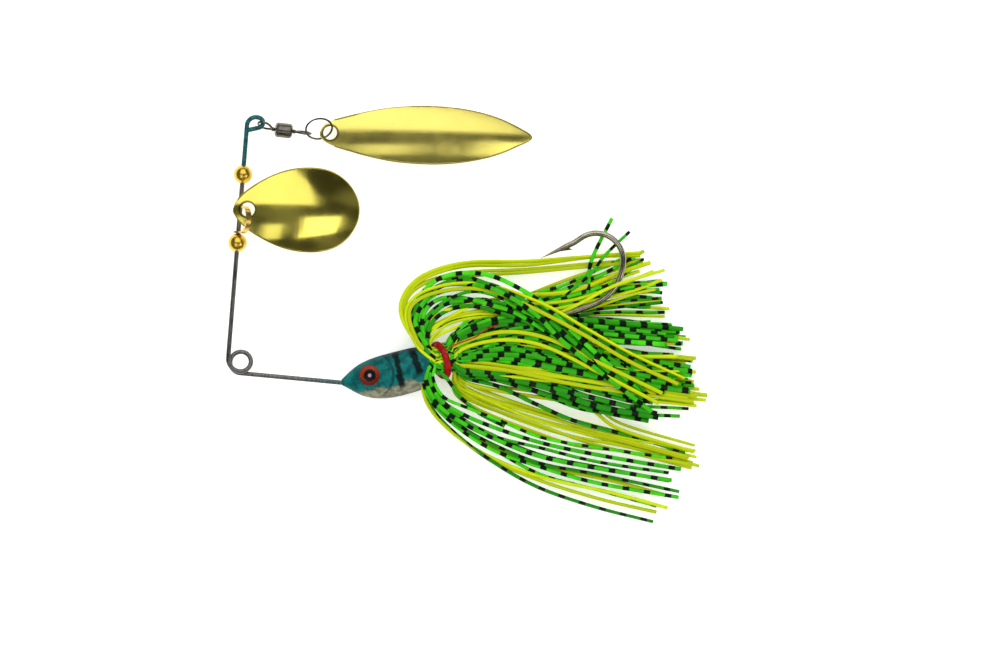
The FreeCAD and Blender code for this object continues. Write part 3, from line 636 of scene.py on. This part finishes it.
STRAYS = [
    ([(6.0, 5.0, -1.2), (18.0, 10.0, -1.8), (26.0, 13.0, -2.0), (30.6, 13.4, -1.6),
      (31.8, 21.0, -1.3), (36.2, 30.6, -1.5)],
     0.1, 0.1, 60, 70, False, 1, 0.3),
    ([(6.5, 4.6, -1.0), (18.0, 9.6, -1.6), (25.0, 13.0, -1.8), (31.0, 18.0, -1.3),
      (35.0, 22.6, -1.4), (40.0, 27.4, -1.5)],
     0.1, 0.1, 60, 70, False, 1, 0.3),
]


def from_collar(turn, up=Z_UP):
    """The direction away from the collar at this turn round it."""
    return COLLAR_SIDE * math.cos(turn) + up * math.sin(turn)


def strand(points, start, end, angle, leaves_forward, n, count, uneven):
    """One strand's route: from under the band, out of it, and then near its family's route."""
    share = 0.0 if count == 1 else 2 * n / (count - 1) - 1
    out = from_collar(math.radians(angle))
    way = -1 if leaves_forward else 1
    route = [BAND - COLLAR * (UNDER_BAND * way) + out * GATHER_R,
             BAND + COLLAR * (OUT_OF_BAND * way) + out * (GATHER_R + FLARE)]
    wander = [RNG.uniform(-1, 1) for _ in points]
    depth = RNG.uniform(-DEPTH, DEPTH)
    for k, (x, y, z) in enumerate(points):
        before, after = points[max(k - 1, 0)], points[min(k + 1, len(points) - 1)]
        run = Vector((after[0] - before[0], after[1] - before[1], 0)).normalized()
        across = Vector((-run.y, run.x, 0))
        part = k / (len(points) - 1)
        spread = start + (end - start) * min(1.0, part * SPREAD_RATE)
        off = share * spread + wander[k] * (WANDER + spread * WANDER_SHARE)
        height = max(z + depth * (0.5 + part * 0.5) + BAND.z, LOWEST)
        route.append(Vector((BAND.x + x, BAND.y + y, height)) + across * off)
    route[-1] += (route[-1] - route[-2]).normalized() * RNG.uniform(-uneven, OVERRUN)
    return route


def sheaf(name, families, paint, slot, *nodes, width=STRAND_W):
    """The strands of these families as one piece. Any nodes named are the ones it replaces."""
    made = Sheaf(name)
    for points, start, end, first, last, forward, count, uneven in families:
        order = list(range(count))
        RNG.shuffle(order)
        for n in range(count):
            angle = first + (last - first) * (order[n] / max(count - 1, 1))
            route = strand(points, start, end, angle, forward, n, count, uneven)
            made.add(smooth_line(route, STRAND_STEP), width * RNG.choice(RIBBONS), STRAND_T,
                     RNG.uniform(-LEAN_BY, LEAN_BY), RNG.uniform(-TWIST_BY, TWIST_BY),
                     RNG.uniform(0, BAR_PERIOD), RNG.random())
    made.finish(paint, slot, *nodes)


sheaf("strands_upper_low_yellow", UPPER_LOW, YELLOW, "skirt_yellow", width=0.85)
sheaf("strands_upper_low_green", UPPER_LOW[1:] + UPPER_GREEN, GREEN, "skirt_green", "skirt_upper_low")
sheaf("strands_middle_low_green", MIDDLE_LOW[:2], GREEN, "skirt_green")
sheaf("strands_middle_low_yellow", MIDDLE_LOW[1:], YELLOW, "skirt_yellow", "skirt_middle_low", width=0.85)
sheaf("strands_lower_green", LOWER_GREEN, GREEN, "skirt_green", "skirt_lower_high")
sheaf("strands_lower_yellow", LOWER_YELLOW, YELLOW, "skirt_yellow", "skirt_lower_low", width=0.8)
sheaf("strands_middle_high", MIDDLE_HIGH, GREEN, "skirt_green", "skirt_middle_high", width=1.25)
sheaf("strands_middle_yellow", MIDDLE_YELLOW, YELLOW, "skirt_yellow", width=0.8)
sheaf("strands_front_yellow", FRONT_YELLOW, YELLOW, "skirt_yellow", "skirt_front_arch", width=0.85)
sheaf("strands_front_green", FRONT_GREEN, GREEN, "skirt_green", "skirt_upper_high", width=1.0)
sheaf("strand_over_bend", OVER_BEND, YELLOW, "skirt_yellow")
sheaf("strands_stray", STRAYS, GREEN, "skirt_green")


# --- gathered middle and thread ---------------------------------------------------------
WAIST_HALF = 1.8             # mm along the collar, half the gathered part
WAIST_R = 2.62               # mm, the least of the three radii that its strands take in turn
WAIST_UNEVEN = 0.12          # mm from each of the three radii to the next
WAIST_STRANDS = 34
WAIST_STEPS = 6              # on each side of the middle


def gathered_waist():
    made = Sheaf("waist_strands")
    for n in range(WAIST_STRANDS):
        out = from_collar(2 * math.pi * n / WAIST_STRANDS) * (WAIST_R + WAIST_UNEVEN * (n % 3))
        line = [BAND + COLLAR * (WAIST_HALF * k / WAIST_STEPS) + out
                for k in range(-WAIST_STEPS, WAIST_STEPS + 1)]
        made.add(line, STRAND_T, STRAND_T, own=RNG.random())
    made.finish(GREEN, "skirt_green", "skirt_waist")


BAND_LEAN = 24.0             # degrees from upright
BAND_BACK = 0.7              # mm from the middle of the gathered part towards the head
BAND_R = 3.46                # mm, to the middle of its thickness
BAND_RIPPLE = 0.06           # mm, by which its radius swells and shrinks three times round
BAND_WIDE, BAND_THICK = 1.5, 0.9    # mm
BAND_STEPS = 64


def red_band():
    """The band sits askew, so that from above it is an arc."""
    lean = math.radians(BAND_LEAN)
    up = Z_UP * math.cos(lean) + COLLAR * math.sin(lean)
    line = []
    for n in range(BAND_STEPS + 1):
        turn = 2 * math.pi * n / BAND_STEPS
        radius = BAND_R + BAND_RIPPLE * math.sin(3 * turn)
        line.append(BAND - COLLAR * BAND_BACK + from_collar(turn, up) * radius)
    made = Sheaf("band_ring")
    made.add(line, BAND_WIDE, BAND_THICK)
    made.finish(RED, "red_band", "skirt_band")


THREAD_ROUTE = [(1.2, 2.6, 3.4), (3.8, 3.7, 3.9), (7.0, 4.9, 4.5), (9.4, 6.6, 4.7), (12.0, 7.4, 4.6)]
THREAD_WIDE = 0.26           # mm
THREAD_STEP = 0.4            # mm between its cross-sections


def thread_tail():
    """One end of the red thread, out of the band. Its route is in mm from the band's middle."""
    made = Sheaf("thread_tail")
    line = smooth_line([BAND + Vector(p) for p in THREAD_ROUTE], THREAD_STEP)
    made.add(line, THREAD_WIDE, THREAD_WIDE)
    made.finish(THREAD, "red_band")


gathered_waist()
red_band()
thread_tail()


# --- split ring of two coils ------------------------------------------------------------
FLAT_WIDE = 0.20             # mm, half the flat wire's width across the ring
FLAT_THICK = 0.06            # mm, half its thickness along the ring's axis
COIL_APART = 0.07            # mm, from the ring's middle plane to each coil
COIL_TURNS = 1.9
COIL_STEPS = 180
COIL_START = 2.2             # radians, where the first coil starts
LEVEL_CHANGE = 9             # how quickly the wire goes from one level to the other


def coiled_ring():
    """Two coils of flat wire, one on the other, that change level where the ring is split."""
    co = np.array([v.co for v in NODES["split_ring"].data.vertices])
    centre = Vector((co.min(0) + co.max(0)) / 2)
    normal = Vector(np.linalg.eigh(np.cov((co - co.mean(0)).T))[1][:, 0])
    one = normal.orthogonal().normalized()
    two = normal.cross(one)
    flat = (co - np.array(centre)) @ np.array([one, two]).T
    radii = np.hypot(flat[:, 0], flat[:, 1])
    mean_r = (radii.min() + radii.max()) / 2
    section = strip_section(FLAT_WIDE * MM, FLAT_THICK * MM, 0.8)
    n_side = len(section)
    verts, faces = [], []
    for n in range(COIL_STEPS + 1):
        part = n / COIL_STEPS
        turn = 2 * math.pi * COIL_TURNS * part + COIL_START
        level_at = math.tanh((part - 0.5) * LEVEL_CHANGE) * COIL_APART * MM
        out = one * math.cos(turn) + two * math.sin(turn)
        verts += [centre + out * (mean_r + x) + normal * (level_at + y) for x, y in section]
        if n:
            faces += side_faces((n - 1) * n_side, n * n_side, n_side)
    faces += end_faces(0, COIL_STEPS * n_side, n_side)
    mesh = bpy.data.meshes.new("split_ring_coils")
    mesh.from_pydata(verts, [], faces)
    mesh.materials.append(RING.mat)
    piece = put("split_ring_coils", mesh)
    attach(piece, "split_ring")
    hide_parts("split_ring")


coiled_ring()


# --- rolled edges of the blades ---------------------------------------------------------
RIM_R = 0.16                 # mm, half the rolled edge's thickness
RIM_STEP = 0.5               # mm between its points
RIM_SMOOTHINGS = 3
RIM_CLEAR = 2.9              # mm round the hole, where the rolled edge stops for what hangs there


def around(flat):
    """Indices of the points on the outside of a flat set, in order round it."""
    order = sorted(range(len(flat)), key=lambda n: (flat[n][0], flat[n][1]))

    def half(indices):
        kept = []
        for n in indices:
            while len(kept) > 1:
                (ax, ay), (bx, by), (cx, cy) = flat[kept[-2]], flat[kept[-1]], flat[n]
                if (bx - ax) * (cy - ay) - (by - ay) * (cx - ax) > 0:
                    break
                kept.pop()
            kept.append(n)
        return kept

    return half(order)[:-1] + half(order[::-1])[:-1]


def rolled_edge(node, hinge):
    """A thin rim round a blade's outline, open near the hole that is at this hinge."""
    co = np.array([v.co for v in NODES[node].data.vertices]) / MM
    middle = co.mean(0)
    spread = np.linalg.eigh(np.cov((co - middle).T))[1]
    flat = (co - middle) @ spread[:, 1:]
    edge = [Vector(co[n]) for n in around([tuple(p) for p in flat])]
    line = smooth_line([*edge, edge[0]], RIM_STEP)
    for _ in range(RIM_SMOOTHINGS):
        count = len(line) - 1
        line = [(line[n - 1] + line[n] * 2 + line[(n + 1) % count]) / 4 for n in range(count)]
        line.append(line[0].copy())
    hole = Vector(JOINT_AT[hinge]) / MM
    nearest = min(range(len(line) - 1), key=lambda n: (line[n] - hole).length)
    line = [p for p in line[nearest:-1] + line[:nearest] if (p - hole).length > RIM_CLEAR]
    curve = bpy.data.curves.new(f"{node}_edge", "CURVE")
    curve.dimensions = "3D"
    curve.bevel_depth = RIM_R * MM
    curve.bevel_resolution = 4
    curve.use_fill_caps = True
    path = curve.splines.new("POLY")
    path.points.add(len(line) - 1)
    for point, at in zip(path.points, line):
        point.co = (*(at * MM), 1)
    # The rim's darker gold is painted shade
    curve.materials.append(SHADED_RIM_GOLD.mat)
    piece = put(f"{node}_edge", curve)
    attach(piece, node)


rolled_edge("front_blade", "front_blade_swing")
rolled_edge("willow_blade", "willow_swing")


# --- finishes of the CAD nodes ----------------------------------------------------------
FINISHES = {
    "wire_form": WIRE,
    "hook": HOOK,
    "head_casting": head_paint(),
    "eye_near": eye_paint("eye_near"),
    "eye_far": eye_paint("eye_far"),
    "lower_bead": BEAD_GOLD,
    "upper_bead": BEAD_GOLD,
    "clevis": STRIP_GOLD,
    "front_blade": MIRROR_GOLD,
    "willow_blade": SATIN_GOLD,
    "swivel_front_eye": SWIVEL,
    "swivel_barrel": SWIVEL,
    "swivel_rear_eye": SWIVEL,
}
for node_name, finish in FINISHES.items():
    dress(node_name, finish)


# --- floor, light and camera ------------------------------------------------------------
FLOOR_HALF = 3.0             # m
FLOOR_DROP = 0.0003          # m, from z = 0 down to the floor
FLOOR_GLOW = 0.42            # of its own light, so that it stays pale in the shadows


def floor():
    size = FLOOR_HALF
    mesh = bpy.data.meshes.new("floor")
    mesh.from_pydata([(-size, -size, 0), (size, -size, 0), (size, size, 0), (-size, size, 0)],
                     [], [(0, 1, 2, 3)])
    plane = put("floor", mesh)
    plane.location.z = -FLOOR_DROP
    paint = Paint("pale_floor", (0.93, 0.93, 0.93), 0.0, 0.9)
    paint.set("Emission Color", (1, 1, 1, 1))
    paint.set("Emission Strength", FLOOR_GLOW)
    paint.set("Specular IOR Level", 0.1)
    paint.use("Base Color", paint.mix(paint.noise(60.0), (0.92, 0.92, 0.92), (0.94, 0.94, 0.94)))
    mesh.materials.append(paint.mat)


def softbox(name, x_angles, y_angles, height, strength):
    """A level rectangle of light that fills these angles from straight up, seen from the front blade."""
    about = middle_of("front_blade")
    xs = [math.tan(math.radians(a)) * height for a in x_angles]
    ys = [math.tan(math.radians(a)) * height for a in y_angles]
    data = bpy.data.lights.new(name, "AREA")
    data.shape = "RECTANGLE"
    data.size, data.size_y = xs[1] - xs[0], ys[1] - ys[0]
    data.energy = strength * data.size * data.size_y
    box = put(name, data)
    box.location = (about.x + (xs[0] + xs[1]) / 2, about.y + (ys[0] + ys[1]) / 2, about.z + height)
    box.visible_camera = False


GLOSSY_WORLD = 0.085         # strength that mirrors see
DIFFUSE_WORLD = 0.66         # strength that lights the rest
PATCHES = 2.6                # scale of the light and dark patches that mirrors see
PATCH_DARK, PATCH_LIGHT = 0.45, 2.0    # their shares of GLOSSY_WORLD


def world():
    """An even world for the matt surfaces, and a dim patchy one in the reflections."""
    made = bpy.data.worlds.new("studio")
    bpy.context.scene.world = made
    made.use_nodes = True
    tree = made.node_tree
    tree.nodes.clear()
    path = tree.nodes.new("ShaderNodeLightPath")
    sky = tree.nodes.new("ShaderNodeTexCoord")
    cloud = tree.nodes.new("ShaderNodeTexNoise")
    cloud.inputs["Scale"].default_value = PATCHES
    cloud.inputs["Detail"].default_value = 0.0
    tree.links.new(sky.outputs["Generated"], cloud.inputs["Vector"])
    patch = tree.nodes.new("ShaderNodeMapRange")
    patch.inputs["From Min"].default_value = 0.35
    patch.inputs["From Max"].default_value = 0.65
    patch.inputs["To Min"].default_value = GLOSSY_WORLD * PATCH_DARK
    patch.inputs["To Max"].default_value = GLOSSY_WORLD * PATCH_LIGHT
    tree.links.new(cloud.outputs["Fac"], patch.inputs["Value"])
    glossy = tree.nodes.new("ShaderNodeBackground")
    diffuse = tree.nodes.new("ShaderNodeBackground")
    for node in (glossy, diffuse):
        node.inputs["Color"].default_value = (1, 1, 1, 1)
    tree.links.new(patch.outputs["Result"], glossy.inputs["Strength"])
    diffuse.inputs["Strength"].default_value = DIFFUSE_WORLD
    mix = tree.nodes.new("ShaderNodeMixShader")
    tree.links.new(path.outputs["Is Glossy Ray"], mix.inputs[0])
    tree.links.new(diffuse.outputs[0], mix.inputs[1])
    tree.links.new(glossy.outputs[0], mix.inputs[2])
    out = tree.nodes.new("ShaderNodeOutputWorld")
    tree.links.new(mix.outputs[0], out.inputs[0])


BOX_HEIGHT = 0.6             # m above the front blade
softbox("softbox_top", (-34, 41), (9, 66), BOX_HEIGHT, 4.0)
softbox("softbox_right", (33, 57), (-44, -11), BOX_HEIGHT, 5.2)
softbox("softbox_low_left", (-34, -3), (-46, -9), BOX_HEIGHT, 3.6)
softbox("softbox_low", (8, 21), (-42, -20), BOX_HEIGHT, 3.4)
floor()
world()

CAMERA_AT = (6.45, -4.48)    # mm, the middle of the view
VIEW_W = 215.0               # mm across the view,
VIEW_AT = 0.004              # measured this many m above z = 0
LENS = 200.0                 # mm
SENSOR = 36.0                # mm
SEES_TO = 20                 # m


def camera():
    data = bpy.data.cameras.new("camera")
    data.lens = LENS
    data.sensor_width = SENSOR
    data.clip_end = SEES_TO
    cam = put("camera", data)
    away = VIEW_W * MM * LENS / SENSOR
    cam.location = (CAMERA_AT[0] * MM, CAMERA_AT[1] * MM, away + VIEW_AT)
    bpy.context.scene.camera = cam


camera()
bpy.context.scene.view_settings.view_transform = "Standard"
bpy.context.scene.view_settings.look = "None"
